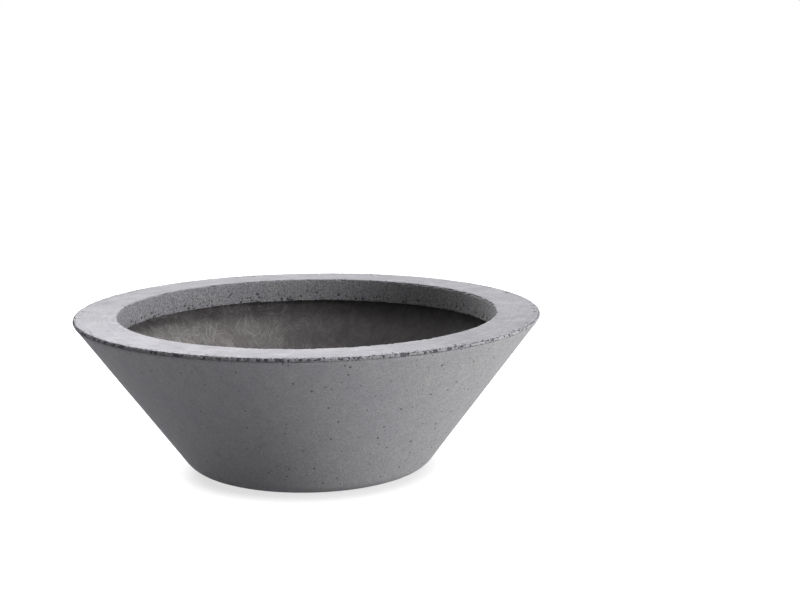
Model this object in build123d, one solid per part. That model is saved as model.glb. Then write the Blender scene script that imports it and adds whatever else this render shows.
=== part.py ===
from build123d import *
from math import asin, atan2, hypot, pi, sin, tan
import os

# Fiberglass planter: a wide shallow bowl whose flat rim turns down inside the mouth.
# Millimetres, +Z up, origin in the middle of the bottom. The front is towards -Y.
# The bowl is hollow: a stony face coat outside, a glass-fibre laminate inside it,
# and a separately cast rim bonded on top. A pull-out plug closes its drain hole.

# Outer form
rim_outer_r = 300.0  # widest point, on the rim's rounded outer edge
rim_edge_r = 3.0
height = 206.0
foot_corner_r = 151.0  # where the lines of the wall and the underside would meet
foot_round_r = 38.0
rim_width = 56.0  # flat top, from the mouth to the widest point
mouth_edge_r = 1.2
lip_drop = 31.0  # from the rim's top to the lip's lower edge
lip_bevel = 0.8

# Layers
face_coat = 3.5
laminate = 4.5
rim_skin = 4.0
rim_laminate = 4.0
bond_line = 0.05  # film of resin between two bonded faces

# Seam between the rim casting and the wall
seam_land = 0.4  # plain wall between the rounded edge and the seam's bevel
seam_bevel = 0.5

# Inside of the bowl
inside_round_r = 30.0
lip_bare = 4.0  # lower end of the lip, which has no laminate behind it
rim_corner = 5.0  # bevel in the corner between collar and lip
bead_leg = 14.0

# Base
standoff = 1.5  # height of the underside above the ground
recess_r = 58.0
recess_depth = 3.0
recess_edge_r = 1.2
doubler_setback = 12.0

# Foot pads
pad_count = 4
pad_r = 14.0
pad_thickness = 3.0
pad_bevel = 0.6
pocket_clearance = 0.5

# Drain hole and its plug
drain_r = 13.0
plug_clearance = 0.3
plug_reach = 1.0  # how far the stem stands out under the base
plug_rib = 0.9
plug_rib_count = 3
plug_tip_r = 10.0
plug_flange_r = 20.0
plug_flange = 3.0
plug_neck_r = 4.5
plug_neck = 4.0
plug_knob_r = 8.0
plug_knob = 4.5
plug_bevel = 1.0

# The wall is tangent to the rim's rounded edge, so its slope follows from these sizes.
edge_dr = rim_outer_r - rim_edge_r - foot_corner_r
edge_dz = height - rim_edge_r - standoff
wall_angle = atan2(edge_dz, edge_dr) - asin(rim_edge_r / hypot(edge_dr, edge_dz))
edge_tangent = rim_edge_r / tan(wall_angle / 2)

# The mouth follows the rim, whose width is set.
mouth_r = rim_outer_r - rim_width

# Heights from the ground up
recess_z = standoff + recess_depth
coat_z = standoff + face_coat
doubler_z = coat_z + recess_depth
floor_z = doubler_z + bond_line + laminate
lip_z = height - lip_drop
collar_z = height - rim_skin
seam_z = height - edge_tangent * sin(wall_angle) - seam_land - seam_bevel

# Depths below the outer face of the wall
lining_depth = face_coat + bond_line
inside_depth = lining_depth + laminate

# The flat ring under the base lies between the recess's step and the rounded foot.
step_r = recess_r + recess_depth
flat_r = foot_corner_r - foot_round_r * tan(wall_angle / 2)
pad_circle_r = (step_r + flat_r) / 2
doubler_r = flat_r - doubler_setback


def wall_r(z, depth=0.0):
    # Radius at height z of the cone that lies this deep inside the wall's outer face.
    return foot_corner_r + (z - standoff) / tan(wall_angle) - depth / sin(wall_angle)


def step_shift(depth):
    # Sideways shift of the 45 degree step's corners, this deep inside the underside.
    return depth * tan(pi / 8)


def turned(corners):
    # A ring about Z. Its section's corners are given as (radius, height, rounding).
    points = [(r, 0, z) for r, z, rounding in corners]
    rounds = [rounding for r, z, rounding in corners]
    outline = FilletPolyline(*points, radius=rounds, close=True)
    return revolve(make_face(outline.edges()), axis=Axis.Z)


def disc(radius, bottom, top):
    return Pos(0, 0, (bottom + top) / 2) * Cylinder(radius, top - bottom)


def around_base(piece):
    # Copies of a piece, one for each foot pad, on the pads' circle.
    turn = 360 / pad_count
    return [Rot(0, 0, turn * (n + 0.5)) * Pos(pad_circle_r, 0, 0) * piece for n in range(pad_count)]


def make_outer_shell():
    # Face coat of the wall and base, up to the seam, with a pocket for each foot pad.
    seat_z = seam_z - bond_line
    shell = turned([
        (drain_r, recess_z, 0),
        (recess_r, recess_z, recess_edge_r),
        (step_r, standoff, recess_edge_r),
        (foot_corner_r, standoff, foot_round_r),
        (wall_r(seat_z - seam_bevel), seat_z - seam_bevel, 0),
        (wall_r(seat_z) - seam_bevel, seat_z, 0),
        (wall_r(seat_z, face_coat), seat_z, 0),
        (wall_r(coat_z, face_coat), coat_z, foot_round_r - face_coat),
        (step_r + step_shift(face_coat), coat_z, 0),
        (recess_r + step_shift(face_coat), doubler_z, 0),
        (drain_r, doubler_z, 0),
    ])
    pocket = disc(pad_r + pocket_clearance, 0, pad_thickness + bond_line)
    return shell - around_base(pocket)


def make_rim_ring():
    # Flat collar with a rounded outer edge and a lip that hangs down inside the mouth.
    return turned([
        (mouth_r, height, mouth_edge_r),
        (mouth_r, lip_z + lip_bevel, 0),
        (mouth_r + lip_bevel, lip_z, 0),
        (mouth_r + rim_skin, lip_z, 0),
        (mouth_r + rim_skin, collar_z, 0),
        (wall_r(collar_z, face_coat), collar_z, 0),
        (wall_r(seam_z, face_coat), seam_z, 0),
        (wall_r(seam_z) - seam_bevel, seam_z, 0),
        (wall_r(seam_z + seam_bevel), seam_z + seam_bevel, 0),
        (wall_r(height), height, rim_edge_r),
    ])


def make_fiberglass_lining():
    # Laminate on the inside of the face coat. It runs over the doubler and up past the
    # seam to the collar, so that it ties the rim to the wall.
    top_z = collar_z - bond_line
    under_z = doubler_z + bond_line
    corner_z = coat_z + bond_line
    return turned([
        (drain_r, under_z, 0),
        (doubler_r + bond_line, under_z, 0),
        (doubler_r + bond_line, corner_z, 0),
        (wall_r(corner_z, lining_depth), corner_z, foot_round_r - lining_depth),
        (wall_r(top_z, lining_depth), top_z, 0),
        (wall_r(top_z, inside_depth), top_z, 0),
        (wall_r(floor_z, inside_depth), floor_z, inside_round_r),
        (drain_r, floor_z, 0),
    ])


def make_rim_lining():
    # Laminate under the collar and behind the lip, as one angle-shaped ring.
    top_z = collar_z - bond_line
    under_z = top_z - rim_laminate
    front_r = mouth_r + rim_skin + bond_line
    back_r = front_r + rim_laminate
    return turned([
        (front_r, lip_z + lip_bare, 0),
        (front_r, top_z, 0),
        (wall_r(top_z, inside_depth + bond_line), top_z, 0),
        (wall_r(under_z, inside_depth + bond_line), under_z, 0),
        (back_r + rim_corner, under_z, 0),
        (back_r, under_z - rim_corner, 0),
        (back_r, lip_z + lip_bare, 0),
    ])


def make_bond_bead():
    # Putty in the sharp corner between the rim's laminate and the wall's.
    top_z = collar_z - rim_laminate - 2 * bond_line
    foot_z = top_z - bead_leg * sin(wall_angle)
    corner_r = wall_r(top_z, inside_depth + bond_line)
    return turned([
        (corner_r - bead_leg, top_z, 0),
        (corner_r, top_z, 0),
        (wall_r(foot_z, inside_depth + bond_line), foot_z, 0),
    ])


def make_base_doubler():
    # Ring of extra laminate in the step of the base, over the foot pads.
    bottom_z = coat_z + bond_line
    inner_r = step_r + step_shift(lining_depth)
    return turned([
        (inner_r, bottom_z, 0),
        (doubler_r, bottom_z, 0),
        (doubler_r, doubler_z, 0),
        (inner_r - (doubler_z - bottom_z), doubler_z, 0),
    ])


def make_foot_pad():
    pad = disc(pad_r, 0, pad_thickness)
    return chamfer(pad.edges().group_by(Axis.Z)[0], pad_bevel)


def make_drain_plug():
    # Tapered stem with sealing ribs, a flange that rests on the floor and a pull knob.
    tip_z = recess_z - plug_reach
    rib_r = drain_r - plug_clearance
    root_r = rib_r - plug_rib
    pitch = (floor_z - tip_z) / (plug_rib_count + 1)
    top_z = floor_z + plug_flange
    knob_z = top_z + plug_neck
    knob_top_z = knob_z + plug_knob
    corners = [
        (0, tip_z, 0),
        (plug_tip_r - plug_bevel, tip_z, 0),
        (plug_tip_r, tip_z + plug_bevel, 0),
    ]
    for n in range(1, plug_rib_count + 1):
        z = tip_z + n * pitch
        corners += [(root_r, z - plug_rib, 0), (rib_r, z, 0), (root_r, z + plug_rib, 0)]
    corners += [
        (root_r, floor_z, 0),
        (plug_flange_r, floor_z, 0),
        (plug_flange_r, top_z - plug_bevel, 0),
        (plug_flange_r - plug_bevel, top_z, 0),
        (plug_neck_r, top_z, 0),
        (plug_neck_r, knob_z, 0),
        (plug_knob_r - plug_bevel, knob_z, 0),
        (plug_knob_r, knob_z + plug_bevel, 0),
        (plug_knob_r, knob_top_z - plug_bevel, 0),
        (plug_knob_r - plug_bevel, knob_top_z, 0),
        (0, knob_top_z, 0),
    ]
    return turned(corners)


nodes = {
    "outer_shell": make_outer_shell(),
    "rim_ring": make_rim_ring(),
    "fiberglass_lining": make_fiberglass_lining(),
    "rim_lining": make_rim_lining(),
    "bond_bead": make_bond_bead(),
    "base_doubler": make_base_doubler(),
    "drain_plug": make_drain_plug(),
}
for n, foot_pad in enumerate(around_base(make_foot_pad()), start=1):
    nodes[f"foot_pad_{n}"] = foot_pad

os.makedirs("parts", exist_ok=True)
for name, solid in nodes.items():
    export_step(solid, f"parts/{name}.step")
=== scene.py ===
from math import asin, atan2, cos, hypot, pi, radians, sin, tan

import bpy
import numpy as np
from mathutils import Matrix, Vector


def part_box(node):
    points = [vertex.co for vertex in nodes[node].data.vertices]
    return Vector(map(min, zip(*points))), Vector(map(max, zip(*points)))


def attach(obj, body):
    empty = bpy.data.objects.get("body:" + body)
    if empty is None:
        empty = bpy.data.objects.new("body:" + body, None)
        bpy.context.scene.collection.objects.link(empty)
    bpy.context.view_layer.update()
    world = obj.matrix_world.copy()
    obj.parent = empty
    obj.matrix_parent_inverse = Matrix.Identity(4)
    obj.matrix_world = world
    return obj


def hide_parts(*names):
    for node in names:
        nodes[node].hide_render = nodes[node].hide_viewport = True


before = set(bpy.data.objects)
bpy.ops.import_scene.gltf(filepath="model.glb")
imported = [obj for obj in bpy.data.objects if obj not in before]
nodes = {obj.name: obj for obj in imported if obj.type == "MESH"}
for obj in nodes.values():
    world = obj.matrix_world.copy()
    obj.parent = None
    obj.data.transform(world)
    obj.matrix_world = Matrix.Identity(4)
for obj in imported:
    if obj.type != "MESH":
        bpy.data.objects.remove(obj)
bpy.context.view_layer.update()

# A wide fiberglass planter bowl: cast stone-like rim and wall outside, laid glass strands inside.
# Everything is in metres, and each section is a closed outline of radius and height.

rimLow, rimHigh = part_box("rim_ring")
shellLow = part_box("outer_shell")[0]
plugLow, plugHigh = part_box("drain_plug")

rimRadius, top, lipFoot, standoff = rimHigh.x, rimHigh.z, rimLow.z, shellLow.z
rimWidth = 0.056
edgeRound = 0.003
mouthRound = 0.0012
lipBevel = 0.0008
rimSkin = 0.004
footCorner = 0.151
footRound = 0.038
coat = 0.0035
laminate = 0.0045
bondFilm = 0.00005
seamLand = 0.0004
seamBevel = 0.0005
recess = 0.058
recessDepth = 0.003
recessRound = 0.0012
doublerSetback = 0.012
insideRound = 0.030
drain = 0.013

edgeRun = rimRadius - edgeRound - footCorner
edgeRise = top - edgeRound - standoff
# The wall is tangent to the rim's rounded edge, so its slope follows.
wallAngle = atan2(edgeRise, edgeRun) - asin(edgeRound / hypot(edgeRun, edgeRise))
edgeTangent = edgeRound / tan(wallAngle / 2)
mouthRadius = rimRadius - rimWidth
seamHeight = top - edgeTangent * sin(wallAngle) - seamLand - seamBevel
collarHeight = top - rimSkin
recessHeight = standoff + recessDepth
coatHeight = standoff + coat
doublerHeight = coatHeight + recessDepth
floorHeight = doublerHeight + bondFilm + laminate
liningDepth = coat + bondFilm
insideDepth = liningDepth + laminate
stepRadius = recess + recessDepth
flatRadius = footCorner - footRound * tan(wallAngle / 2)


def wallRadius(height, depth=0.0):
    # Radius of the cone that lies this deep inside the wall's outer face, at this height.
    return footCorner + (height - standoff) / tan(wallAngle) - depth / sin(wallAngle)


# ---- numbers that look random but repeat
noiseMix = np.array([12.9898, 78.233, 37.719])
noiseSeedStep = 17.137
noiseGrowth = 43758.5453


def scatter(cells, seed):
    # A number from 0 to 1 for each cell: the part after the point of a large multiple of a sine
    # of its place.
    mixed = cells @ noiseMix[: cells.shape[-1]] + seed * noiseSeedStep
    grown = np.sin(mixed) * noiseGrowth
    return grown - np.floor(grown)


def softNoise(place, size, seed):
    # Smooth noise from -1 to 1: random heights at the corners of cubes of this size,
    # blended across each cube by an s-curve in x, y and z.
    spot = place / size
    cell = np.floor(spot)
    part = spot - cell
    curve = part * part * (3 - 2 * part)
    total = np.zeros(len(place))
    for corner in np.ndindex(2, 2, 2):
        weight = np.prod(np.where(corner, curve, 1 - curve), axis=-1)
        total += weight * scatter(cell + corner, seed)
    return total * 2 - 1


def smoothStep(low, high, value):
    # 0 below low, 1 above high, and an s-curve between them.
    part = np.clip((value - low) / (high - low), 0, 1)
    return part * part * (3 - 2 * part)


def bump(middle, width, value):
    # A bell of height 1 round its middle.
    return np.exp(-(((value - middle) / width) ** 2))


def holesAt(angle, radius, along, holes, seed):
    # Depth of the deepest hole at each place round a circle, as a share of the deepest of all. The
    # field is cut into cells, and the shares say how many of each row's cells hold a hole. Its middle
    # and width are random, and its depth falls with the square of the distance from its middle.
    girth = 2 * pi * radius
    columns = round(girth / holes["spacing"])
    wide = girth / columns
    x, y = angle * radius / wide, along / holes["spacing"]
    depth = np.zeros(len(angle))
    for stepX, stepY in np.ndindex(3, 3):
        column, row = np.floor(x) + stepX - 1, np.floor(y) + stepY - 1
        cells = np.stack([column % columns, row], axis=-1)
        middleX = column + 0.5 + holes["stray"] * (scatter(cells, seed) - 0.5)
        middleY = row + 0.5 + holes["stray"] * (scatter(cells, seed + 1) - 0.5)
        size = holes["smallest"] + (holes["largest"] - holes["smallest"]) * scatter(cells, seed + 2) ** 2
        there = scatter(cells, seed + 3) < np.interp(row, *holes["shares"])
        away = np.hypot((x - middleX) * wide, (y - middleY) * holes["spacing"])
        hollow = np.clip(1 - (away / size) ** 2, 0, 1) * size / holes["largest"]
        depth = np.maximum(depth, hollow * there)
    return depth


def slowWaver(place, cast, seed):
    # Soft noise of each wave's size and height, added up, from 0 to the sum of the heights.
    waves = enumerate(cast["waves"], seed)
    return sum((0.5 + 0.5 * softNoise(place, size, number)) * height for number, (height, size) in waves)


# ---- sections and turned surfaces
crisp = 0.0002  # rounding of a corner that has none of its own
finer = 3  # how many times closer the points of a fine ring stand
straight = 0.01  # a corner that bends less than this, in radians, stays a plain point
tiny = 1e-12
millimetre = 0.001
hair = 0.0001  # slack in a comparison of heights
mapEdge = 0.004  # free edge of each strip of the bake map
mapSlack = 1e-6


def makeSection(corners):
    # A closed outline of radius and height. Each corner gives its place and rounding, then for the
    # side after it the spacing of its points, its share of the bake map and 1 or 3 for how fine its
    # rings are, both 1 where left off. A rounded corner is an arc that touches both sides.
    corners = [(*corner, 1, 1)[:6] for corner in corners]
    place = np.array([corner[:2] for corner in corners])
    back = np.roll(place, 1, axis=0) - place
    ahead = np.roll(place, -1, axis=0) - place
    back /= np.linalg.norm(back, axis=1, keepdims=True)
    ahead /= np.linalg.norm(ahead, axis=1, keepdims=True)
    half = np.arccos(np.clip((back * ahead).sum(1), -1, 1)) / 2
    rounding = np.maximum([corner[2] for corner in corners], crisp)
    onAxis = place[:, 0] < crisp
    bent = (pi - 2 * half > straight) & ~onAxis
    trim = np.where(bent, rounding / np.tan(half), 0.0)
    start, end = place + back * trim[:, None], place + ahead * trim[:, None]
    points, fine, share = [], [], []
    for i, (*_, spacing, weight, level) in enumerate(corners):
        before = corners[i - 1]
        if bent[i]:
            sweep = pi - 2 * half[i]
            inwards = (back[i] + ahead[i]) / (2 * np.cos(half[i]))
            middle = place[i] + inwards * rounding[i] / np.sin(half[i])
            steps = max(1, round(sweep * rounding[i] / min(spacing, before[3])))
            turn = np.linspace(0, 1, steps + 1)[:, None]
            arc = np.sin((1 - turn) * sweep) * (start[i] - middle)
            arc = arc + np.sin(turn * sweep) * (end[i] - middle)
            points.append(middle + arc / np.sin(sweep))
        else:
            points.append(place[i][None])
        fine += [max(level, before[-1])] * len(points[-1])
        share += [max(weight, before[-2])] * (len(points[-1]) - 1) + [weight]
        following = (i + 1) % len(corners)
        run = start[following] - end[i]
        steps = max(1, round(float(np.hypot(*run)) / spacing))
        if onAxis[i] and onAxis[following]:
            continue
        along = np.arange(1, steps)[:, None] / steps
        points.append(end[i] + run * along)
        fine += [level] * (steps - 1)
        share += [weight] * (steps - 1)
    points = np.concatenate(points)
    step = np.hypot(*(np.roll(points, -1, axis=0) - points).T)
    forward = np.roll(points, -1, axis=0) - np.roll(points, 1, axis=0)
    forward /= np.maximum(np.linalg.norm(forward, axis=1, keepdims=True), tiny)
    return {
        "radius": points[:, 0],
        "height": points[:, 1],
        "outward": np.stack([forward[:, 1], -forward[:, 0]], axis=-1),
        "along": np.concatenate([[0], np.cumsum(step)[:-1]]),
        "mapRow": np.concatenate([[0], np.cumsum(step * np.array(share))]),
        "fine": np.array(fine),
    }


def stripFaces(low, high, turns):
    # Faces between two rings of a turned surface, as corners (ring, place round the ring, turn).
    # Rings of one size give quads, a fine ring on a plain one gives two triangles and a quad for
    # each plain step, and a ring of one point gives a fan.
    def onLow(n):
        return 0, n, n / (turns * max(low, 1))

    def onHigh(n):
        return 1, n, n / (turns * max(high, 1))

    k = np.arange(turns * (low if low == high else 1))
    f = k * finer
    if low == high:
        return [(onLow(k), onLow(k + 1), onHigh(k + 1), onHigh(k))]
    if low == 0:
        return [((0, k, (k + 0.5) / turns), onHigh(k + 1), onHigh(k))]
    if high == 0:
        return [(onLow(k), onLow(k + 1), (1, k, (k + 0.5) / turns))]
    if low < high:
        return [
            (onLow(k), onHigh(f + 1), onHigh(f)),
            (onLow(k), onLow(k + 1), onHigh(f + 2), onHigh(f + 1)),
            (onLow(k + 1), onHigh(f + 3), onHigh(f + 2)),
        ]
    return [
        (onLow(f), onLow(f + 1), onHigh(k)),
        (onLow(f + 1), onLow(f + 2), onHigh(k + 1), onHigh(k)),
        (onLow(f + 2), onLow(f + 3), onHigh(k + 1)),
    ]


def addObject(name, data):
    made = bpy.data.objects.new(name, data)
    bpy.context.scene.collection.objects.link(made)
    return made


def makeTurned(name, section, cast, relief):
    # The section carried once round Z: x and y are the radius times the cosine and sine of the turn.
    # The relief then moves each point along the section's outward direction, and up.
    turns, mapStrips = cast["turns"], cast["mapStrips"]
    radius, height, fine = section["radius"], section["height"], section["fine"].copy()
    fine[radius < crisp] = 0
    counts = np.maximum(fine * turns, 1)
    first = np.concatenate([[0], np.cumsum(counts)])
    ring = np.repeat(np.arange(len(counts)), counts)
    turn = (np.arange(first[-1]) - first[ring]) / counts[ring]
    angle = 2 * pi * turn
    side = np.stack([np.cos(angle), np.sin(angle)], axis=-1)
    field = {
        "angle": angle,
        "radius": radius[ring],
        "height": height[ring],
        "along": section["along"][ring],
        "outward": section["outward"][ring],
        "place": np.column_stack([side * radius[ring][:, None], height[ring]]),
    }
    offset, lift, marks = relief(field)
    offset = np.where(fine[ring] == 0, 0, offset)
    finalRadius = field["radius"] + field["outward"][:, 0] * offset
    finalHeight = field["height"] + field["outward"][:, 1] * offset + lift
    vertices = np.column_stack([side * finalRadius[:, None], finalHeight])

    closed = not (fine == 0).any()
    rows = len(counts) if closed else len(counts) - 1
    mapHigh = section["mapRow"][rows]
    faces, spots = {3: [], 4: []}, {3: [], 4: []}
    for row in range(rows):
        above = (row + 1) % len(counts)
        for corners in stripFaces(fine[row], fine[above], turns):
            index, spot = [], []
            strip = np.floor(np.min([corner[2] for corner in corners], axis=0) * mapStrips + mapSlack)
            for which, place, turned in corners:
                here = above if which else row
                index.append(first[here] + place % counts[here])
                across = section["mapRow"][row + which] / mapHigh
                u = mapEdge + (1 - 2 * mapEdge) * (turned * mapStrips - strip)
                v = (strip + mapEdge + (1 - 2 * mapEdge) * across) / mapStrips
                spot.append(np.stack([u, v], axis=-1))
            faces[len(corners)].append(np.stack(index, axis=-1))
            spots[len(corners)].append(np.stack(spot, axis=1))
    mesh = bpy.data.meshes.new(name)
    kinds = [size for size in (3, 4) if faces[size]]
    listed = [face for size in kinds for face in np.concatenate(faces[size]).tolist()]
    mesh.from_pydata(vertices.tolist(), [], listed)
    mesh.uv_layers.new(name="OFBake")
    flat = np.concatenate([np.concatenate(spots[size]).reshape(-1) for size in kinds])
    mesh.uv_layers["OFBake"].uv.foreach_set("vector", flat.astype(np.float32))
    for label, values in marks.items():
        wide = values.ndim > 1
        layer = mesh.attributes.new(label, "FLOAT_VECTOR" if wide else "FLOAT", "POINT")
        layer.data.foreach_set("vector" if wide else "value", values.astype(np.float32).ravel())
    mesh.polygons.foreach_set("use_smooth", np.ones(len(mesh.polygons), bool))
    mesh.update()
    return addObject(name, mesh)


def placePiece(piece, body, slot, material, *stoodFor):
    piece.data.materials.append(material)
    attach(piece, body)
    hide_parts(*stoodFor)
    corners = np.empty(len(piece.data.polygons), np.int32)
    piece.data.polygons.foreach_get("loop_total", corners)
    print("made", piece.name, int((corners - 2).sum()), "triangles")


# ---- shader pieces; t is always the node tree that a function builds in
def emptyTree(owner):
    owner.use_nodes = True
    owner.node_tree.nodes.clear()
    return owner.node_tree


def feedNode(t, node, feeds):
    # Each input takes a number, a colour or another node's output.
    for label, value in feeds.items():
        if isinstance(value, bpy.types.NodeSocket):
            t.links.new(value, node.inputs[label])
        else:
            node.inputs[label].default_value = value
    return node.outputs


def put(t, kind, feeds, **settings):
    # A new node with its settings and inputs.
    node = t.nodes.new("ShaderNode" + kind)
    for label, value in settings.items():
        setattr(node, label, value)
    return feedNode(t, node, feeds)


def use(t, group, **feeds):
    node = t.nodes.new("ShaderNodeGroup")
    node.node_tree = group
    return feedNode(t, node, feeds)


def apart(t, vector):
    return put(t, "SeparateXYZ", {0: vector})


def joined(t, *parts):
    return put(t, "CombineXYZ", dict(enumerate(parts)))[0]


def calc(t, operation, first, second=0.0, third=0.0):
    return put(t, "Math", {0: first, 1: second, 2: third}, operation=operation)[0]


def times(t, first, second):
    return calc(t, "MULTIPLY", first, second)


def timesPlus(t, first, second, third):
    return calc(t, "MULTIPLY_ADD", first, second, third)


def fade(t, value, low, high, start=0.0, end=1.0):
    feeds = {"Value": value, "From Min": low, "From Max": high, "To Min": start, "To Max": end}
    return put(t, "MapRange", feeds, interpolation_type="SMOOTHSTEP")["Result"]


def tint(t, share, first, second):
    # The first colour mixed with this share of the second.
    return put(t, "Mix", {0: share, 6: first, 7: second}, data_type="RGBA")[2]


def shade(t, colour, level):
    # A colour made lighter or darker by a level, where 1 leaves it as it is.
    return put(t, "VectorMath", {0: colour, "Scale": level}, operation="SCALE")[0]


def aroundOne(t, value, spread):
    # A level round 1 from a value of 0 to 1.
    return timesPlus(t, value, times(t, spread, 2.0), calc(t, "SUBTRACT", 1.0, spread))


def noiseFrom(t, vector, scale, detail=2.0, roughness=0.5):
    feeds = {"Vector": vector, "Scale": scale, "Detail": detail, "Roughness": roughness}
    return put(t, "TexNoise", feeds)["Factor" if bpy.app.version >= (5, 0, 0) else "Fac"]


def makeGroup(name, build, *labels):
    # A group of nodes. Build gets its tree and inputs, and returns its outputs by name.
    t = bpy.data.node_groups.new(name, "ShaderNodeTree")
    for label in labels:
        kind = "NodeSocketVector" if label == "Vector" else "NodeSocketFloat"
        t.interface.new_socket(label, in_out="INPUT", socket_type=kind)
    given = t.nodes.new("NodeGroupInput").outputs
    made = build(t, *[given[label] for label in labels])
    for label in made:
        t.interface.new_socket(label, in_out="OUTPUT", socket_type="NodeSocketFloat")
    feedNode(t, t.nodes.new("NodeGroupOutput"), made)
    return t


texture = dict(
    finerPatches=3.7,  # how many times finer a cloud's small patches are than its large ones
    cloudRange=(0.3, 0.7),  # noise values at which a tone is darkest and palest
    speckSize=0.8, speckRange=(0.28, 0.72), grainRim=(0.25, 0.6),
    smallestHole=0.35,  # as a share of the widest
    holeRim=0.5, streakTurns=9.0, swirls=22.0, swirl=(0.014, 0.014, 0.0),
    lengthwise=34.0,  # ridges a metre along the strands, so few that each runs through its cell
    layers=40.0, ridgeRange=(0.48, 0.68), bundleRim=0.22,
)


def cloud(t, place, patches):
    # Soft uneven tone: large patches, with ones of about a quarter of their size on top.
    large = noiseFrom(t, place, patches, 3.0, 0.55)
    small = noiseFrom(t, place, times(t, patches, texture["finerPatches"]), 2.0, 0.5)
    mixed = timesPlus(t, small, 0.4, times(t, large, 0.6))
    return {"Tone": fade(t, mixed, *texture["cloudRange"])}


def sand(t, place, grains, darkShare, paleShare):
    # Dark and pale grains of sand: cells whose random number is low or high, faded to their rims.
    # Speck is fine noise of about the grains' size, from 0 to 1.
    speck = noiseFrom(t, place, times(t, grains, texture["speckSize"]), 1.0, 0.6)
    cell = put(t, "TexVoronoi", {"Vector": place, "Scale": grains})
    number = put(t, "SeparateColor", {0: cell["Color"]})[0]
    disc = fade(t, cell["Distance"], *texture["grainRim"], 1.0, 0.0)
    pale = calc(t, "GREATER_THAN", number, calc(t, "SUBTRACT", 1.0, paleShare))
    return {
        "Dark": times(t, calc(t, "LESS_THAN", number, darkShare), disc),
        "Pale": times(t, pale, disc),
        "Speck": fade(t, speck, *texture["speckRange"]),
    }


def pinholes(t, place, holes, share, widest):
    # Round air holes: some cells hold one, as wide as the cell's random number says, with a soft rim.
    cell = put(t, "TexVoronoi", {"Vector": place, "Scale": holes})
    numbers = put(t, "SeparateColor", {0: cell["Color"]})
    width = times(t, widest, fade(t, numbers[1], 0.0, 1.0, texture["smallestHole"], 1.0))
    inside = calc(t, "SUBTRACT", 1.0, calc(t, "DIVIDE", cell["Distance"], width))
    there = calc(t, "LESS_THAN", numbers[0], share)
    return {"Hole": times(t, fade(t, inside, 0.0, texture["holeRim"]), there)}


def streaks(t, place, fineness):
    # Trowel and brush streaks that run round the axis: noise drawn out along the turn,
    # read from the radius plus the height across them and from the direction along them.
    xyz = apart(t, place)
    flat = joined(t, xyz[0], xyz[1])
    radius = put(t, "VectorMath", {0: flat}, operation="LENGTH")["Value"]
    way = apart(t, put(t, "VectorMath", {0: flat}, operation="NORMALIZE")[0])
    across = times(t, calc(t, "ADD", radius, xyz[2]), fineness)
    drawn = [times(t, way[axis], texture["streakTurns"]) for axis in (0, 1)]
    return {"Streak": noiseFrom(t, joined(t, across, *drawn), 1.0, 3.0, 0.6), "Radius": radius}


def strands(t, place, scale, ridges, shift):
    # A bundle of glass strands in each cell: the place within the cell is turned by a random angle,
    # and noise drawn out along one direction gives the ridges. They fade out at the cell's border.
    shifted = put(t, "VectorMath", {0: place, 1: shift}, operation="ADD")[0]
    wander = put(t, "TexNoise", {"Vector": shifted, "Scale": texture["swirls"], "Detail": 1.0})["Color"]
    centred = put(t, "VectorMath", {0: wander, 1: (0.5, 0.5, 0.5)}, operation="SUBTRACT")[0]
    bend = {0: centred, 1: texture["swirl"], 2: shifted}
    swirl = put(t, "VectorMath", bend, operation="MULTIPLY_ADD")[0]
    cells = {"Vector": swirl, "Scale": scale}
    cell = put(t, "TexVoronoi", cells, voronoi_dimensions="2D")
    border = put(t, "TexVoronoi", cells, voronoi_dimensions="2D", feature="DISTANCE_TO_EDGE")
    numbers = put(t, "SeparateColor", {0: cell["Color"]})
    within = put(t, "VectorMath", {0: swirl, 1: cell["Position"]}, operation="SUBTRACT")[0]
    angle = times(t, numbers[0], 2 * pi)
    turned = put(t, "VectorRotate", {"Vector": within, "Angle": angle}, rotation_type="Z_AXIS")[0]
    xyz = apart(t, turned)
    length = times(t, xyz[0], texture["lengthwise"])
    layer = times(t, numbers[1], texture["layers"])
    drawn = joined(t, length, times(t, xyz[1], ridges), layer)
    ridge = fade(t, noiseFrom(t, drawn, 1.0, 1.0, 0.5), *texture["ridgeRange"])
    shown = fade(t, border["Distance"], 0.0, texture["bundleRim"])
    return {"Ridge": times(t, ridge, shown), "Tone": times(t, numbers[2], shown)}


def makeSurface(name, look):
    material = bpy.data.materials.new(name)
    t = emptyTree(material)
    shader = t.nodes.new("ShaderNodeBsdfPrincipled")
    shader.inputs["Roughness"].default_value = look["roughness"]
    shader.inputs["Specular IOR Level"].default_value = look["specular"]
    end = t.nodes.new("ShaderNodeOutputMaterial")
    t.links.new(shader.outputs[0], end.inputs[0])
    return material, t, shader, put(t, "TexCoord", {})["Object"]


def finishSurface(t, shader, colour, height):
    # Height is in millimetres.
    normal = put(t, "Bump", {"Height": height, "Distance": millimetre, "Strength": 1.0})[0]
    t.links.new(colour, shader.inputs["Base Color"])
    t.links.new(normal, shader.inputs["Normal"])


cloudyTone = makeGroup("cloudyTone", cloud, "Vector", "Patches")
sandGrain = makeGroup("sandGrain", sand, "Vector", "Grains", "Dark", "Pale")
airHoles = makeGroup("airHoles", pinholes, "Vector", "Holes", "Share", "Width")
roundStreaks = makeGroup("roundStreaks", streaks, "Vector", "Fineness")
glassStrands = makeGroup("glassStrands", strands, "Vector", "Cells", "Ridges", "Shift")
print("made the shader groups")


def cloudOn(t, place, patches):
    return use(t, cloudyTone, Vector=place, Patches=patches)["Tone"]


def sandOn(t, place, grains, look):
    shares = {"Dark": look["darkGrains"], "Pale": look["paleGrains"]}
    return use(t, sandGrain, Vector=place, Grains=grains, **shares)


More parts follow.
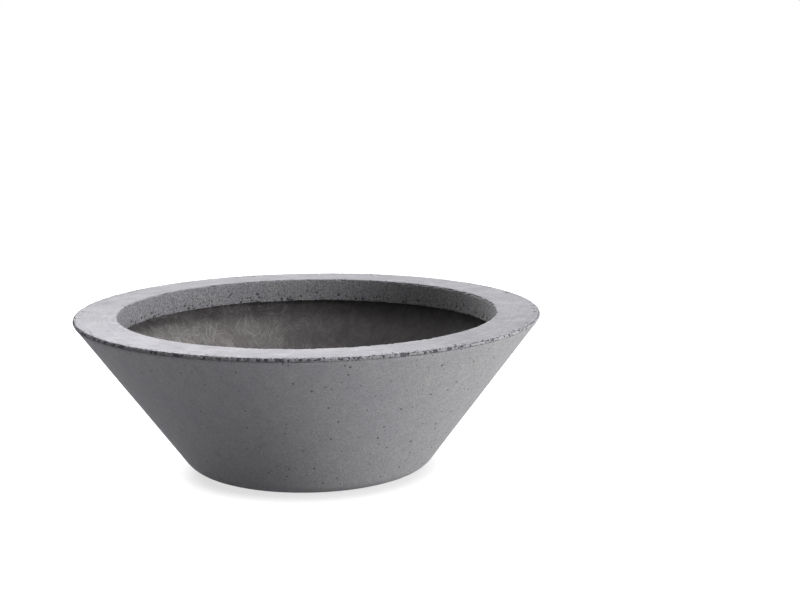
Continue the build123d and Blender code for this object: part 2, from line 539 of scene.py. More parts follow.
# ---- cast stone face of the rim and the wall
castFace = dict(
    grey=(0.423, 0.423, 0.428, 1), purple=(0.379, 0.373, 0.415, 1), dark=(0.27, 0.268, 0.285, 1),
    # holeShade is near-black in the air holes: painted shade in them, with dirt.
    pale=(0.62, 0.62, 0.63, 1), holeShade=(0.085, 0.084, 0.095, 1),
    film=(0.350, 0.344, 0.371, 1),  # smooth cement film on the rim's top
    filmPale=(0.423, 0.416, 0.446, 1),
    shadedSlurry=(0.11, 0.105, 0.13, 1),  # dark rough band under the rim's edge: rough wear, and painted shade of the rounded edge that turns down
    patches=14.0, finePatches=75.0, darkGrains=0.2, paleGrains=0.14, cloudShare=0.6,
    greyBySide=(-0.2, 0.2, 0.0, 0.4),  # greyer towards the right
    mottle=0.16, holeTint=(0.0, 0.7, 0.0, 0.88), speckHeight=0.35, holeHeight=-0.6,
    roughness=0.82, specular=0.35,
)


def castGround(t, place, look):
    # What the rim and the wall share: soft patches of grey and purple-grey, grains and air holes.
    cloud = cloudOn(t, place, castFace["patches"])
    finerCloud = cloudOn(t, place, castFace["finePatches"])
    grain = sandOn(t, place, look["grains"], castFace)
    large = {"Holes": look["holes"], "Share": look["holeShare"], "Width": look["holeWidth"]}
    small = {"Holes": look["pricks"], "Share": look["prickShare"], "Width": look["prickWidth"]}
    holes = [use(t, airHoles, Vector=place, **kind)["Hole"] for kind in (large, small)]
    bySide = fade(t, apart(t, place)[0], *castFace["greyBySide"])
    plain = timesPlus(t, cloud, castFace["cloudShare"], bySide)
    colour = tint(t, plain, castFace["purple"], castFace["grey"])
    mottle = fade(t, finerCloud, 0.0, 1.0, 0.0, castFace["mottle"])
    colour = tint(t, mottle, colour, castFace["pale"])
    return {
        "colour": colour,
        "cloud": cloud,
        "finerCloud": finerCloud,
        "grain": grain,
        "hole": calc(t, "MAXIMUM", *holes),
    }


def castFinish(t, shader, ground, colour, speckle, hole, relief):
    # Speckle, grains and holes over a colour, with their heights in millimetres.
    grain = ground["grain"]
    colour = shade(t, colour, aroundOne(t, grain["Speck"], speckle))
    colour = tint(t, times(t, grain["Dark"], speckle), colour, castFace["dark"])
    colour = tint(t, times(t, grain["Pale"], speckle), colour, castFace["pale"])
    # Holes are mixed towards a near-black: painted shade in the holes, with dirt.
    colour = tint(t, fade(t, hole, *castFace["holeTint"]), colour, castFace["holeShade"])
    relief = timesPlus(t, times(t, grain["Speck"], speckle), castFace["speckHeight"], relief)
    relief = timesPlus(t, hole, castFace["holeHeight"], relief)
    finishSurface(t, shader, colour, relief)


wallLook = dict(
    grains=560.0, holes=105.0, holeWidth=0.20, holeShare=0.9, pricks=330.0, prickWidth=0.21,
    prickShare=0.6, speckle=0.07,
    moreSpeckle=0.10,  # added where the casting has more air in it
    airyCloud=0.35, airyBySide=(-0.22, 0.22, 0.0, 0.65), airyHoles=(0.1, 0.8, 0.35, 1.0),
    mottleHeight=0.12,
)


def makeWallStone():
    # Speckle and air holes on the cast ground, more of both where it is airy, towards the right.
    material, t, shader, place = makeSurface("wallStone", castFace)
    ground = castGround(t, place, wallLook)
    bySide = fade(t, apart(t, place)[0], *wallLook["airyBySide"])
    airy = timesPlus(t, ground["cloud"], wallLook["airyCloud"], bySide)
    speckle = timesPlus(t, airy, wallLook["moreSpeckle"], wallLook["speckle"])
    hole = times(t, ground["hole"], fade(t, airy, *wallLook["airyHoles"]))
    relief = times(t, ground["finerCloud"], wallLook["mottleHeight"])
    castFinish(t, shader, ground, ground["colour"], speckle, hole, relief)
    return material


rimLook = dict(
    grains=560.0, holes=175.0, holeWidth=0.24, holeShare=0.8, pricks=400.0, prickWidth=0.22,
    prickShare=0.5, topSpeckle=0.10, lipSpeckle=0.33,
    lipLevel=0.76,  # the lip is darker than the wall
    lipPaintedShadeFar=0.75,  # painted shade: darker still on the right
    # The front band and level make the top's film lighter towards the front: painted light.
    lipPaintedShadeSides=(-0.05, 0.15), frontPaintedLight=1.58, frontSkew=0.5, frontPaintedLightBand=(-0.27, -0.05),
    wideStreaks=300.0, narrowStreaks=900.0, streakRange=(0.36, 0.64), streakSpread=0.13,
    streakHeight=0.12,
    topBand=(0.0022, 0.0008),  # depths below the top at which its film begins and is full
    lipBand=(0.0015, 0.0035),  # distances from the mouth at which the lip's look ends
    filmByCloud=(0.2, 1.0), filmShare=0.9, blotches=(0.25, 0.75, 0.25, 1.0),
    wornShadeRange=(0.05, 0.8), wornShadeSpeckle=0.3,
    lowOnLip=(0.006, 0.026),  # heights above the lip's foot at which pits are most and fewest
    fewestPits=0.25, pitsByCloud=(0.2, 0.8, 0.3, 1.0), topHoles=0.08, hollowRange=(0.12, 0.7),
    mottleHeight=0.10,
)


def makeRimStone():
    # A streaked film on the top, painted lighter towards the front, a speckled and pitted lip, painted
    # darker on the right, a dark band over the outer edge of wear and painted shade, and the wall's own
    # look below it.
    look = rimLook
    material, t, shader, place = makeSurface("rimStone", castFace)
    xyz = apart(t, place)
    ground = castGround(t, place, look)
    wide = use(t, roundStreaks, Vector=place, Fineness=look["wideStreaks"])
    narrow = use(t, roundStreaks, Vector=place, Fineness=look["narrowStreaks"])["Streak"]
    onTop = fade(t, xyz[2], *[top - depth for depth in look["topBand"]])
    atMouth = fade(t, wide["Radius"], *[mouthRadius + away for away in look["lipBand"]], 1.0, 0.0)
    onLip = times(t, calc(t, "SUBTRACT", 1.0, onTop), atMouth)
    wornAndShaded = put(t, "Attribute", {}, attribute_name="wornAndShaded")["Fac"]
    hollow = put(t, "Attribute", {}, attribute_name="hollow")["Fac"]

    streak = timesPlus(t, narrow, 0.5, times(t, wide["Streak"], 0.5))
    film = tint(t, fade(t, ground["cloud"], *look["filmByCloud"]), castFace["film"], castFace["filmPale"])
    film = shade(t, film, aroundOne(t, fade(t, streak, *look["streakRange"]), look["streakSpread"]))
    # Painted light: the film on the top is made lighter towards the front.
    forward = timesPlus(t, xyz[0], look["frontSkew"], xyz[1])
    film = shade(t, film, fade(t, forward, *look["frontPaintedLightBand"], look["frontPaintedLight"], 1.0))
    # Painted shade: the lip is made darker still towards the right.
    lipFarShadeLevel = look["lipLevel"] * look["lipPaintedShadeFar"]
    lipLevel = fade(t, xyz[0], *look["lipPaintedShadeSides"], look["lipLevel"], lipFarShadeLevel)
    lipLevel = timesPlus(t, onLip, calc(t, "SUBTRACT", lipLevel, 1.0), 1.0)
    colour = shade(t, ground["colour"], lipLevel)
    colour = tint(t, times(t, onTop, look["filmShare"]), colour, film)

    # Wear and painted shade: the band over the outer edge is mixed towards a dark colour that also stands
    # in for the shade of the rounded edge, darkest on the left.
    blotch = fade(t, ground["grain"]["Speck"], *look["blotches"])
    dark = times(t, fade(t, wornAndShaded, *look["wornShadeRange"]), blotch)
    colour = tint(t, dark, colour, castFace["shadedSlurry"])
    speckle = timesPlus(t, onLip, look["lipSpeckle"] - look["topSpeckle"], look["topSpeckle"])
    speckle = timesPlus(t, wornAndShaded, look["wornShadeSpeckle"], speckle)
    rises = [lipFoot + rise for rise in look["lowOnLip"]]
    lowOnLip = fade(t, xyz[2], *rises, 1.0, look["fewestPits"])
    pitted = times(t, times(t, onLip, lowOnLip), fade(t, ground["cloud"], *look["pitsByCloud"]))
    hole = times(t, ground["hole"], timesPlus(t, onTop, look["topHoles"], pitted))
    hole = calc(t, "MAXIMUM", hole, fade(t, hollow, *look["hollowRange"]))
    lined = times(t, times(t, streak, look["streakHeight"]), onTop)
    relief = timesPlus(t, ground["finerCloud"], look["mottleHeight"], lined)
    castFinish(t, shader, ground, colour, speckle, hole, relief)
    return material


# ---- rim, a turned casting with a lip that hangs inside the mouth
rimCast = dict(
    turns=640, mapStrips=4, lipStep=0.0032,
    fineLip=0.009,  # height of the lip's lower stretch with fine rings
    fineStep=0.0011, edgeStep=0.00055, topStep=0.0062,
    fineTop=0.0075,  # width of the fine stretch along the outer edge
    fineMouth=0.0025,  # and to both sides of the mouth's edge
    hiddenStep=0.018,
    edgeZone=0.012,  # width of the outer stretch that has holes and chips
    waves=((0.0003, 0.085), (0.00008, 0.022)),  # heights and sizes
    waverEnds=(0.0015, 0.0005),  # reach out from the mouth, and down from the top
    patchSize=0.06,
    rag=0.0022,  # how far the lip's lower edge is broken away
    ragSizes=(0.007, 0.0025), ragHeight=0.0055, chip=0.0008, chipSize=0.0055, chipFiner=2.3,
    chipRange=(0.25, 0.95),
    chipBand=(0.0035, 0.0028),  # middle and width, by the way over the edge
    wornShadeBand=(0.0006, 0.0022), wornShadeRag=0.0006, mouthChip=0.0016, mouthChipSizes=(0.0055, 0.0024),
    mouthChipRange=(0.15, 0.8),
    mouthZone=(0.0035, 0.0005),  # distances from the mouth's edge where chips end and are full
    mouthWorn=(0.4, 0.45),  # turn at which the mouth is most chipped, and how far round, in radians
    # Shares round the turn set how rough the outer edge is, for its chips and for its dark band of wear
    # and painted shade.
    wornShadeTurns=(0, 60, 120, 180, 225, 270, 300, 330, 360),  # degrees round from the right
    wornShadeShares=(0.26, 0.35, 0.45, 1.0, 0.85, 0.50, 0.36, 0.28, 0.26),
    edgeRows=dict(
        spacing=0.0027, stray=0.45, smallest=0.0011, largest=0.0019,
        shares=((-3, -2, -1, 0, 1, 2), (0.04, 0.08, 0.3, 0.95, 0.25, 0.9)),  # rows outwards and down
    ),
    rowStart=0.0003, edgeDepth=0.0012,
    lipHoles=dict(spacing=0.0045, stray=0.7, smallest=0.0010, largest=0.0025, shares=((0,), (0.6,))),
    lipDepth=0.0013,
    lipFaceEnds=(0.001, 0.002),  # reach out from the mouth, and the clear height under the top
    lipPitted=(0.020, 0.003),  # heights above the lip's foot where holes begin and are full
)


def rimSection():
    hidden, step, edge = rimCast["hiddenStep"], rimCast["fineStep"], rimCast["edgeStep"]
    nearMouth = rimCast["fineMouth"]
    return makeSection([
        (mouthRadius, top, mouthRound, step, 1, 3),
        (mouthRadius, top - mouthRound - nearMouth, 0, rimCast["lipStep"]),
        (mouthRadius, lipFoot + rimCast["fineLip"], 0, step, 1, 3),
        (mouthRadius, lipFoot + lipBevel, 0, lipBevel / 2, 1, 3),
        (mouthRadius + lipBevel, lipFoot, 0, step, 1, 3),
        (mouthRadius + rimSkin, lipFoot, 0, hidden, 0.2),
        (mouthRadius + rimSkin, collarHeight, 0, hidden, 0.1),
        (wallRadius(collarHeight, coat), collarHeight, 0, hidden, 0.1),
        (wallRadius(seamHeight, coat), seamHeight, 0, hidden, 0.1),
        (wallRadius(seamHeight) - seamBevel, seamHeight, 0, edge, 1, 3),
        (wallRadius(seamHeight + seamBevel), seamHeight + seamBevel, 0, edge, 1, 3),
        (wallRadius(top), top, edgeRound, step, 1, 3),
        (rimRadius - rimCast["fineTop"], top, 0, rimCast["topStep"]),
        (mouthRadius + mouthRound + nearMouth, top, 0, step, 1, 3),
    ])


def rimRelief(field):
    # Slow waver of a hand-made edge, rows of air holes and patches of chips round the outer edge,
    # chips along the mouth, and holes and a broken lower edge on the lip. All of it cuts inwards.
    # Down is the way over the rounded edge, from 0 at the end of the flat top.
    place, angle, height, radius = field["place"], field["angle"], field["height"], field["radius"]
    nearEdge = (radius > rimRadius - rimCast["edgeZone"]) & (height > seamHeight + hair)
    flatEnd = rimRadius - edgeRound
    fromMiddle = np.arctan2(radius - flatEnd, height - (top - edgeRound))
    down = np.where(radius < flatEnd, radius - flatEnd, fromMiddle * edgeRound)
    waver = slowWaver(place, rimCast, 1)

    patch = softNoise(place, rimCast["patchSize"], 3)
    rows = holesAt(angle, rimRadius, down - rimCast["rowStart"], rimCast["edgeRows"], 11) * nearEdge
    size = rimCast["chipSize"]
    chipField = softNoise(place, size, 4) + 0.5 * softNoise(place, size / rimCast["chipFiner"], 5)
    rough = np.interp(np.degrees(angle), rimCast["wornShadeTurns"], rimCast["wornShadeShares"])
    chips = smoothStep(*rimCast["chipRange"], chipField + 0.4 * patch + 0.3 * rough)
    chips = chips * bump(*rimCast["chipBand"], down) * nearEdge
    # The dark band over the edge is wear and painted shade of the rounded edge, strongest where the
    # turn's share is high.
    wornAndShaded = smoothStep(*rimCast["wornShadeBand"], down + rimCast["wornShadeRag"] * chipField) * (rough + 0.2 * patch)
    wornAndShaded = np.clip(wornAndShaded, 0, 1) * nearEdge * (0.8 + 0.2 * np.clip(chipField, -1, 1))

    far, near = rimCast["mouthZone"]
    mouthSide = smoothStep(mouthRadius + far, mouthRadius + near, radius)
    mouthSide = mouthSide * smoothStep(top - far, top - near, height)
    mouthRough = 0.15 + 0.55 * bump(*rimCast["mouthWorn"], angle) + 0.2 * patch
    coarse, fine = rimCast["mouthChipSizes"]
    mouthField = softNoise(place, coarse, 8) + 0.6 * softNoise(place, fine, 9)
    mouthChips = smoothStep(*rimCast["mouthChipRange"], mouthField + mouthRough) * mouthSide

    reach, clear = rimCast["lipFaceEnds"]
    lipFace = (radius < mouthRadius + reach) & (height < top - clear)
    begin, full = rimCast["lipPitted"]
    lowOnLip = smoothStep(lipFoot + begin, lipFoot + full, height)
    lip = holesAt(angle, mouthRadius, height - lipFoot, rimCast["lipHoles"], 21)
    lip = lip * lipFace * smoothStep(-0.5, 0.4, patch + 1.6 * lowOnLip - 0.8)
    coarse, fine = rimCast["ragSizes"]
    ragged = 0.5 * softNoise(place, coarse, 6) + 0.5 * softNoise(place, fine, 7) + 0.3 * patch
    nearFoot = smoothStep(lipFoot + rimCast["ragHeight"], lipFoot + crisp, height)
    nearFoot = nearFoot * (radius < mouthRadius + rimSkin - crisp)
    lift = rimCast["rag"] * np.maximum(0, ragged) * nearFoot
    reach, depth = rimCast["waverEnds"]
    inwards = waver * (nearEdge | (radius < mouthRadius + reach) | (height > top - depth))
    inwards += rows * rimCast["edgeDepth"] + chips * rimCast["chip"] + lip * rimCast["lipDepth"]
    inwards += mouthChips * rimCast["mouthChip"]
    hollow = np.maximum.reduce([rows, lip, 0.75 * chips, 0.7 * mouthChips])
    return -inwards, lift, {"hollow": np.clip(hollow, 0, 1), "wornAndShaded": np.clip(wornAndShaded, 0, 1)}


rimStone = makeRimStone()
wallStone = makeWallStone()
rim = makeTurned("rimCasting", rimSection(), rimCast, rimRelief)
placePiece(rim, "planter", "face_coat", rimStone, "rim_ring")


# ---- face coat of the wall and the base
shellCast = dict(
    turns=720, mapStrips=3, wallStep=0.0062, footStep=0.0032, baseStep=0.0014,
    padBand=(0.078, 0.1145),  # radii between which the pockets lie
    hiddenStep=0.025, waves=((0.00035, 0.075), (0.0001, 0.02)), calmSeam=0.006,
    pocketRadius=0.0145, pocketSlope=0.0012, pocketTop=0.00305,
)


def shellSection():
    seat = seamHeight - bondFilm
    shift = tan(pi / 8)  # sideways move of a corner of the 45 degree step, for each unit of depth
    inner, outer = shellCast["padBand"]
    hidden = shellCast["hiddenStep"]
    return makeSection([
        (drain, recessHeight, 0, 0.006, 0.6),
        (recess, recessHeight, recessRound, 0.001, 0.6),
        (stepRadius, standoff, recessRound, 0.004, 0.6),
        (inner, standoff, 0, shellCast["baseStep"], 0.6),
        (outer, standoff, 0, shellCast["footStep"]),
        (footCorner, standoff, footRound, shellCast["wallStep"]),
        (wallRadius(seat - seamBevel), seat - seamBevel, 0, seamBevel / 2),
        (wallRadius(seat) - seamBevel, seat, 0, 0.002, 0.2),
        (wallRadius(seat, coat), seat, 0, hidden, 0.05),
        (wallRadius(coatHeight, coat), coatHeight, footRound - coat, hidden, 0.05),
        (stepRadius + shift * coat, coatHeight, 0, hidden, 0.05),
        (recess + shift * coat, doublerHeight, 0, hidden, 0.05),
        (drain, doublerHeight, 0, 0.0018, 0.3),
    ])


def shellRelief(field):
    # Slow waver of a hand-laid face, and a round pocket over each foot pad. The waver cuts inwards.
    place, height, radius = field["place"], field["height"], field["radius"]
    facing = field["outward"]
    outside = (facing[:, 0] > 0.3) & (height > standoff + 5 * hair) & (radius > flatRadius)
    belowSeam = smoothStep(seamHeight, seamHeight - shellCast["calmSeam"], height)
    waver = slowWaver(place, shellCast, 31)
    under = (facing[:, 1] < -0.9) & (height < standoff + hair)
    lift = np.zeros(len(radius))
    for number in range(1, 5):
        low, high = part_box(f"foot_pad_{number}")
        away = np.hypot(place[:, 0] - (low.x + high.x) / 2, place[:, 1] - (low.y + high.y) / 2)
        slope = shellCast["pocketSlope"]
        inside = 1 - smoothStep(shellCast["pocketRadius"], shellCast["pocketRadius"] + slope, away)
        lift = np.maximum(lift, inside * (shellCast["pocketTop"] - standoff))
    return -waver * outside * belowSeam, lift * under, {}


shell = makeTurned("wallShell", shellSection(), shellCast, shellRelief)
placePiece(shell, "planter", "face_coat", wallStone, "outer_shell")


# ---- laminate of glass strands inside
laminateLook = dict(
    resin=(0.182, 0.173, 0.172, 1), deep=(0.107, 0.097, 0.099, 1), strand=(0.46, 0.44, 0.435, 1),
    bundles=((38.0, 520.0, 0.0), (50.0, 640.0, 1.3), (31.0, 440.0, 2.9)),  # cells, ridges, shift
    lipShadowLevel=0.62,  # painted shadow of the lip: darker right under it, lighter further down
    topBand=(0.125, 0.172), leftPaintedLight=1.54,
    rightPaintedShade=0.74,  # painted shade: darker on the right, as the left is made lighter
    paintedSideBand=(-0.12, 0.16), patches=16.0, finePatches=120.0, dryByCloud=(0.1, 0.9, 0.35, 1.0),
    dryAndLitBySide=(-0.14, 0.10, 1.0, 0.30), resinShare=0.75, strandShare=0.62, bundleShare=0.25,
    strandHeight=0.45, mottleHeight=0.15, roughness=0.62, specular=0.4,
)


def makeLaminateMaterial(name, laid):
    # Dark resin with three layers of pale strands on it, more of them towards the left, partly as painted
    # light, and painted light and shade: lighter on the left, darker on the right and right under the
    # lip.
    # laid says whether the piece has its own flat lay of the strands, in the attribute lay.
    look = laminateLook
    material, t, shader, place = makeSurface(name, look)
    xyz = apart(t, place)
    lay = put(t, "Attribute", {}, attribute_name="lay")["Vector"] if laid else place
    cloud = cloudOn(t, place, look["patches"])
    fine = cloudOn(t, place, look["finePatches"])
    bundles = [
        use(t, glassStrands, Vector=lay, Cells=cells, Ridges=ridges, Shift=shift)
        for cells, ridges, shift in look["bundles"]
    ]
    raised = calc(t, "MAXIMUM", bundles[0]["Ridge"], bundles[1]["Ridge"])
    raised = calc(t, "MAXIMUM", raised, bundles[2]["Ridge"])
    # More pale strands towards the left, partly painted light.
    dry = times(t, fade(t, cloud, *look["dryByCloud"]), fade(t, xyz[0], *look["dryAndLitBySide"]))
    patchy = times(t, raised, dry)
    colour = tint(t, fade(t, cloud, 0.0, 1.0, 0.0, look["resinShare"]), look["deep"], look["resin"])
    colour = tint(t, times(t, patchy, look["strandShare"]), colour, look["strand"])
    # Painted light and shade: lighter on the left, darker on the right.
    bySide = fade(t, xyz[0], *look["paintedSideBand"], look["leftPaintedLight"], look["rightPaintedShade"])
    colour = shade(t, colour, bySide)
    # Painted shadow of the lip: darker right under it.
    colour = shade(t, colour, fade(t, xyz[2], *look["topBand"], 1.0, look["lipShadowLevel"]))
    colour = tint(t, times(t, bundles[0]["Tone"], look["bundleShare"]), colour, look["resin"])
    relief = timesPlus(t, patchy, look["strandHeight"], times(t, fine, look["mottleHeight"]))
    finishSurface(t, shader, colour, relief)
    return material


lining = dict(
    turns=720, mapStrips=3, wallStep=0.0030, floorStep=0.0048, hiddenStep=0.025, ridge=0.00045,
    ridgeSize=0.007, sag=0.0006, sagSize=0.035, warp=0.012, warpSize=0.04, stretch=0.45,
    calmDrain=0.002, calmRadius=0.03, calmTop=0.008,
)


def liningSection():
    topZ, underZ, cornerZ = collarHeight - bondFilm, doublerHeight + bondFilm, coatHeight + bondFilm
    doublerEdge = flatRadius - doublerSetback + bondFilm
    hidden = lining["hiddenStep"]
    return makeSection([
        (drain, underZ, 0, hidden, 0.05),
        (doublerEdge, underZ, 0, hidden, 0.05),
        (doublerEdge, cornerZ, 0, hidden, 0.05),
        (wallRadius(cornerZ, liningDepth), cornerZ, footRound - liningDepth, hidden, 0.05),
        (wallRadius(topZ, liningDepth), topZ, 0, 0.002, 0.05),
        (wallRadius(topZ, insideDepth), topZ, 0, lining["wallStep"]),
        (wallRadius(floorHeight, insideDepth), floorHeight, insideRound, lining["floorStep"]),
        (drain, floorHeight, 0, 0.0022, 0.4),
    ])


def liningRelief(field):
    # The lay of the strands is the inner face rolled out flat from the drain hole. Low ridges of
    # bunched strands and slow sags lie on it, all sunk below the clean face.
    along, radius, height = field["along"], field["radius"], field["height"]
    fromAxis = drain + liningEnd - along
    lay = np.stack([np.cos(field["angle"]), np.sin(field["angle"]), 0 * along], axis=-1)
    lay = lay * fromAxis[:, None]
    facing = field["outward"]
    inside = (facing[:, 0] < 0.2) & (facing[:, 1] > 0.2)
    sag = 0.5 + 0.5 * softNoise(field["place"], lining["sagSize"], 41)
    bends = [softNoise(lay, lining["warpSize"], 42), softNoise(lay, lining["warpSize"], 43), 0 * along]
    warped = lay + lining["warp"] * np.stack(bends, axis=-1)
    stretch, size = lining["stretch"], lining["ridgeSize"]
    bunch = 1 - np.abs(softNoise(warped * [1, stretch, 1], size, 44))
    bunch = np.maximum(bunch, 1 - np.abs(softNoise(warped * [stretch, 1, 1], size, 45)))
    calm = smoothStep(drain + lining["calmDrain"], lining["calmRadius"], radius)
    calm = calm * smoothStep(collarHeight, collarHeight - lining["calmTop"], height)
    inwards = (lining["sag"] * sag + lining["ridge"] * (1 - bunch ** 3)) * inside * calm
    return -inwards, 0 * along, {"lay": lay}


innerSection = liningSection()
fromDrain = np.hypot(innerSection["radius"] - drain, innerSection["height"] - floorHeight)
liningEnd = innerSection["along"][np.argmin(fromDrain)]
laidLaminate = makeLaminateMaterial("laidLaminate", True)
hiddenLaminate = makeLaminateMaterial("hiddenLaminate", False)
liner = makeTurned("strandLining", innerSection, lining, liningRelief)
placePiece(liner, "planter", "laminate", laidLaminate, "fiberglass_lining")

for name in ("rim_lining", "base_doubler"):
    nodes[name].data.materials.clear()
    nodes[name].data.materials.append(hiddenLaminate)


# ---- putty in the corner between the rim and the wall
putty = dict(
    deep=(0.28, 0.27, 0.25, 1), pale=(0.38, 0.37, 0.345, 1), grain=(0.2, 0.19, 0.18, 1),
    patches=60.0, streaks=900.0, grains=900.0, darkGrains=0.2, paleGrains=0.1, grainShare=0.4,
    streakHeight=0.3, mottleHeight=0.3, roughness=0.7, specular=0.4,
)


def makePutty():
    look = putty
    material, t, shader, place = makeSurface("greyPutty", look)
    cloud = cloudOn(t, place, look["patches"])
    streak = use(t, roundStreaks, Vector=place, Fineness=look["streaks"])["Streak"]
    grain = sandOn(t, place, look["grains"], look)
    colour = tint(t, cloud, look["deep"], look["pale"])
    colour = tint(t, times(t, grain["Dark"], look["grainShare"]), colour, look["grain"])
    relief = timesPlus(t, streak, look["streakHeight"], times(t, cloud, look["mottleHeight"]))
    finishSurface(t, shader, colour, relief)
    return material


nodes["bond_bead"].data.materials.clear()
nodes["bond_bead"].data.materials.append(makePutty())


# ---- rubber: the drain plug and the foot pads
rubber = dict(
    black=(0.035, 0.035, 0.037, 1), dusty=(0.10, 0.098, 0.094, 1), dust=0.5, patches=150.0,
    grains=1500.0, darkGrains=0.3, paleGrains=0.25, grainShare=0.25, grainHeight=0.02,
    mottleHeight=0.05, roughness=0.58, specular=0.45,
)


def makeRubber():
    look = rubber
    material, t, shader, place = makeSurface("mouldedRubber", look)
    cloud = cloudOn(t, place, look["patches"])
    grain = sandOn(t, place, look["grains"], look)
    colour = tint(t, fade(t, cloud, 0.0, 1.0, 0.0, look["dust"]), look["black"], look["dusty"])
    colour = tint(t, times(t, grain["Pale"], look["grainShare"]), colour, look["dusty"])
    relief = timesPlus(t, grain["Pale"], look["grainHeight"], times(t, cloud, look["mottleHeight"]))
    finishSurface(t, shader, colour, relief)
    return material


mouldedRubber = makeRubber()

plug = dict(
    turns=144, mapStrips=1, step=0.0007, round=0.0007, play=0.0003, rib=0.0009, ribs=3, tip=0.010,
    flange=0.003, neckRadius=0.0045, neck=0.004, knobRadius=0.008, dimple=0.0004,
    dimpleRadius=0.003, mouldLine=0.00006, mouldLineWidth=0.05,
)


def plugSection():
    low, high, flangeRadius = plugLow.z, plugHigh.z, plugHigh.x
    rib = drain - plug["play"]
    root = rib - plug["rib"]
    pitch = (floorHeight - low) / (plug["ribs"] + 1)
    flangeTop = floorHeight + plug["flange"]
    knobFoot = flangeTop + plug["neck"]
    step, soft = plug["step"], plug["round"]
    corners = [(0, low, 0, step), (plug["tip"], low, soft, step)]
    for number in range(1, plug["ribs"] + 1):
        z = low + number * pitch
        corners += [
            (root, z - plug["rib"], 0, step / 2),
            (rib, z, crisp, step / 2),
            (root, z + plug["rib"], 0, step),
        ]
    return makeSection(corners + [
        (root, floorHeight, 0, step),
        (flangeRadius, floorHeight, crisp, step),
        (flangeRadius, flangeTop, soft * 1.4, step),
        (plug["neckRadius"], flangeTop, soft, step),
        (plug["neckRadius"], knobFoot, soft, step),
        (plug["knobRadius"], knobFoot, soft, step),
        (plug["knobRadius"], high, soft * 1.6, step),
        (0, high, 0, step),
    ])


def plugRelief(field):
    # A shallow dimple in the knob's top, and a fine ridge where the mould's halves met.
    high = field["height"] > plugHigh.z - hair
    outside = smoothStep(0.6 * plug["dimpleRadius"], plug["dimpleRadius"], field["radius"])
    dimple = -plug["dimple"] * (1 - outside) * high
    seam = -plug["mouldLine"] * (1 - bump(0, plug["mouldLineWidth"], np.sin(field["angle"])))
    side = np.abs(field["outward"][:, 0]) > 0.5
    return seam * side, dimple, {}


plugPiece = makeTurned("rubberPlug", plugSection(), plug, plugRelief)
placePiece(plugPiece, "drain_plug", "rubber", mouldedRubber, "drain_plug")

pad = dict(
    turns=96, mapStrips=1, step=0.0007, topStep=0.002, round=0.0006, grooves=0.00015,
    grooveSize=0.0028,
    grooved=(0.0130, 0.0120),  # radii at which the grooves end and are full
)


def padRelief(field):
    # Fine grooves round the middle of the underside, whose depth is a cosine of the radius.
    under = field["height"] < crisp
    wave = 0.5 - 0.5 * np.cos(2 * pi * field["radius"] / pad["grooveSize"])
    edge = smoothStep(*pad["grooved"], field["radius"])
    return 0 * wave, pad["grooves"] * wave * under * edge, {}


for number in range(1, 5):
    low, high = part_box(f"foot_pad_{number}")
    radius = (high.x - low.x) / 2
    outline = makeSection([
        (0, low.z, 0, pad["step"]),
        (radius, low.z, pad["round"], pad["step"]),
        (radius, high.z, crisp, pad["topStep"], 0.4),
        (0, high.z, 0, pad["topStep"], 0.4),
    ])
    padPiece = makeTurned(f"gripPad_{number}", outline, pad, padRelief)
    padPiece.data.transform(Matrix.Translation(((low.x + high.x) / 2, (low.y + high.y) / 2, 0)))
    placePiece(padPiece, "planter", "rubber", mouldedRubber, f"foot_pad_{number}")


# ---- floor, backdrop, light and camera
studio = dict(
    floorHalf=9.0, floorGrey=(0.42, 0.42, 0.42, 1),
    glow={0.148: 0.68, 0.19: 0.96, 0.60: 1.0},  # what the floor adds, by distance from the axis; less near the base, so the floor there is darker: painted shadow on top of the real one
    fill=0.02, aim=(0, 0, 0.12),
    lamps=dict(  # turn from the front towards the right and rise, in degrees
        rightLow=dict(turn=65, rise=8, away=1.9, size=0.9, power=25.6),
        rightBack=dict(turn=115, rise=45, away=1.9, size=0.9, power=9.4),
        leftBack=dict(turn=-150, rise=30, away=2.2, size=1.2, power=44.4),
        frontFill=dict(turn=-30, rise=15, away=2.2, size=1.2, power=3.4),
        overhead=dict(turn=90, rise=70, away=2.0, size=1.6, power=12.6),
    ),
)


def seenRays(t):
    # 1 for what the camera sees directly, in a reflection or through glass.
    path = put(t, "LightPath", {})
    either = calc(t, "MAXIMUM", path["Is Camera Ray"], path["Is Glossy Ray"])
    return calc(t, "MAXIMUM", either, path["Is Transmission Ray"])


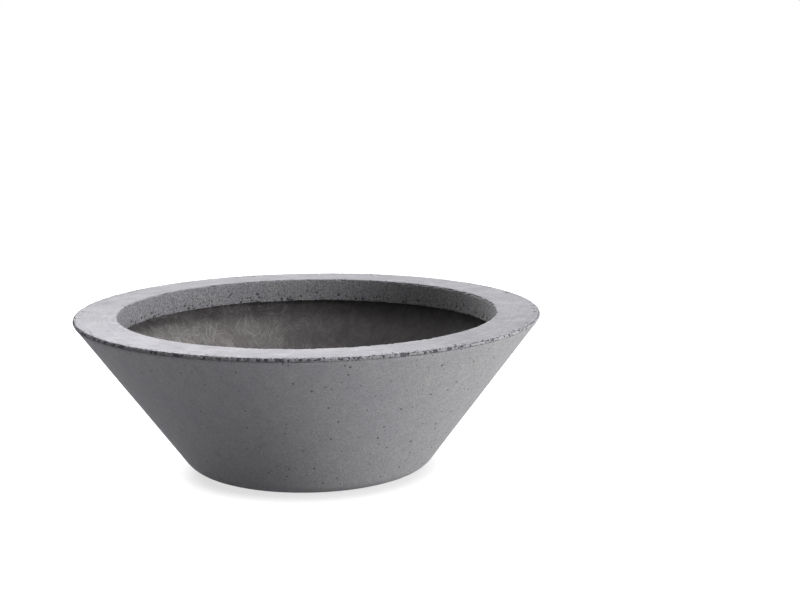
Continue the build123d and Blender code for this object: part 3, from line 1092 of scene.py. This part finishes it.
def makeFloor():
    half = studio["floorHalf"]
    mesh = bpy.data.meshes.new("floor")
    corners = [(-half, -half, 0), (half, -half, 0), (half, half, 0), (-half, half, 0)]
    mesh.from_pydata(corners, [], [(0, 1, 2, 3)])
    floor = addObject("floor", mesh)
    material = bpy.data.materials.new("paleFloor")
    t = emptyTree(material)
    seen = seenRays(t)
    matte = put(t, "BsdfDiffuse", {"Color": studio["floorGrey"]})[0]
    place = put(t, "TexCoord", {})["Object"]
    away = put(t, "VectorMath", {0: place}, operation="LENGTH")["Value"]
    (first, nearGlow), (second, midGlow), (third, farGlow) = studio["glow"].items()
    near = fade(t, away, first, second, nearGlow, midGlow)
    level = calc(t, "ADD", near, fade(t, away, second, third, 0.0, farGlow - midGlow))
    glow = put(t, "Emission", {"Strength": times(t, seen, level)})[0]
    both = put(t, "AddShader", {0: matte, 1: glow})[0]
    end = t.nodes.new("ShaderNodeOutputMaterial")
    t.links.new(both, end.inputs[0])
    mesh.materials.append(material)


def makeWorld():
    world = bpy.data.worlds.new("studio")
    bpy.context.scene.world = world
    t = emptyTree(world)
    seen = seenRays(t)
    strength = timesPlus(t, seen, 1.0 - studio["fill"], studio["fill"])
    backdrop = put(t, "Background", {"Color": (1, 1, 1, 1), "Strength": strength})[0]
    end = t.nodes.new("ShaderNodeOutputWorld")
    t.links.new(backdrop, end.inputs[0])


def makeLamp(name, look):
    lamp = bpy.data.lights.new(name, "AREA")
    lamp.size = look["size"]
    lamp.energy = look["power"]
    lampObject = addObject(name, lamp)
    turn, rise = radians(look["turn"]), radians(look["rise"])
    way = Vector((sin(turn) * cos(rise), -cos(turn) * cos(rise), sin(rise)))
    facing = way.to_track_quat("Z", "Y").to_matrix().to_4x4()  # a lamp shines along its own -Z
    lampObject.matrix_world = Matrix.Translation(Vector(studio["aim"]) + way * look["away"]) @ facing
    lampObject.visible_camera = False


cameraSetup = dict(
    place=(0.11968, -2.29837, 0.63046),
    pitch=10.161,  # degrees below the horizon
    roll=-0.4746, lens=81.3, sensor=36.0, clip=(0.05, 60),
)


def makeCamera():
    camera = bpy.data.cameras.new("camera")
    camera.lens, camera.sensor_width = cameraSetup["lens"], cameraSetup["sensor"]
    camera.clip_start, camera.clip_end = cameraSetup["clip"]
    cameraObject = addObject("camera", camera)
    tilt = Matrix.Rotation(radians(90 - cameraSetup["pitch"]), 4, "X")
    roll = Matrix.Rotation(radians(cameraSetup["roll"]), 4, "Z")
    cameraObject.matrix_world = Matrix.Translation(cameraSetup["place"]) @ tilt @ roll
    bpy.context.scene.camera = cameraObject


makeFloor()
makeWorld()
for name, look in studio["lamps"].items():
    makeLamp(name, look)
makeCamera()
bpy.context.scene.view_settings.view_transform = "Standard"
print("lit the studio")
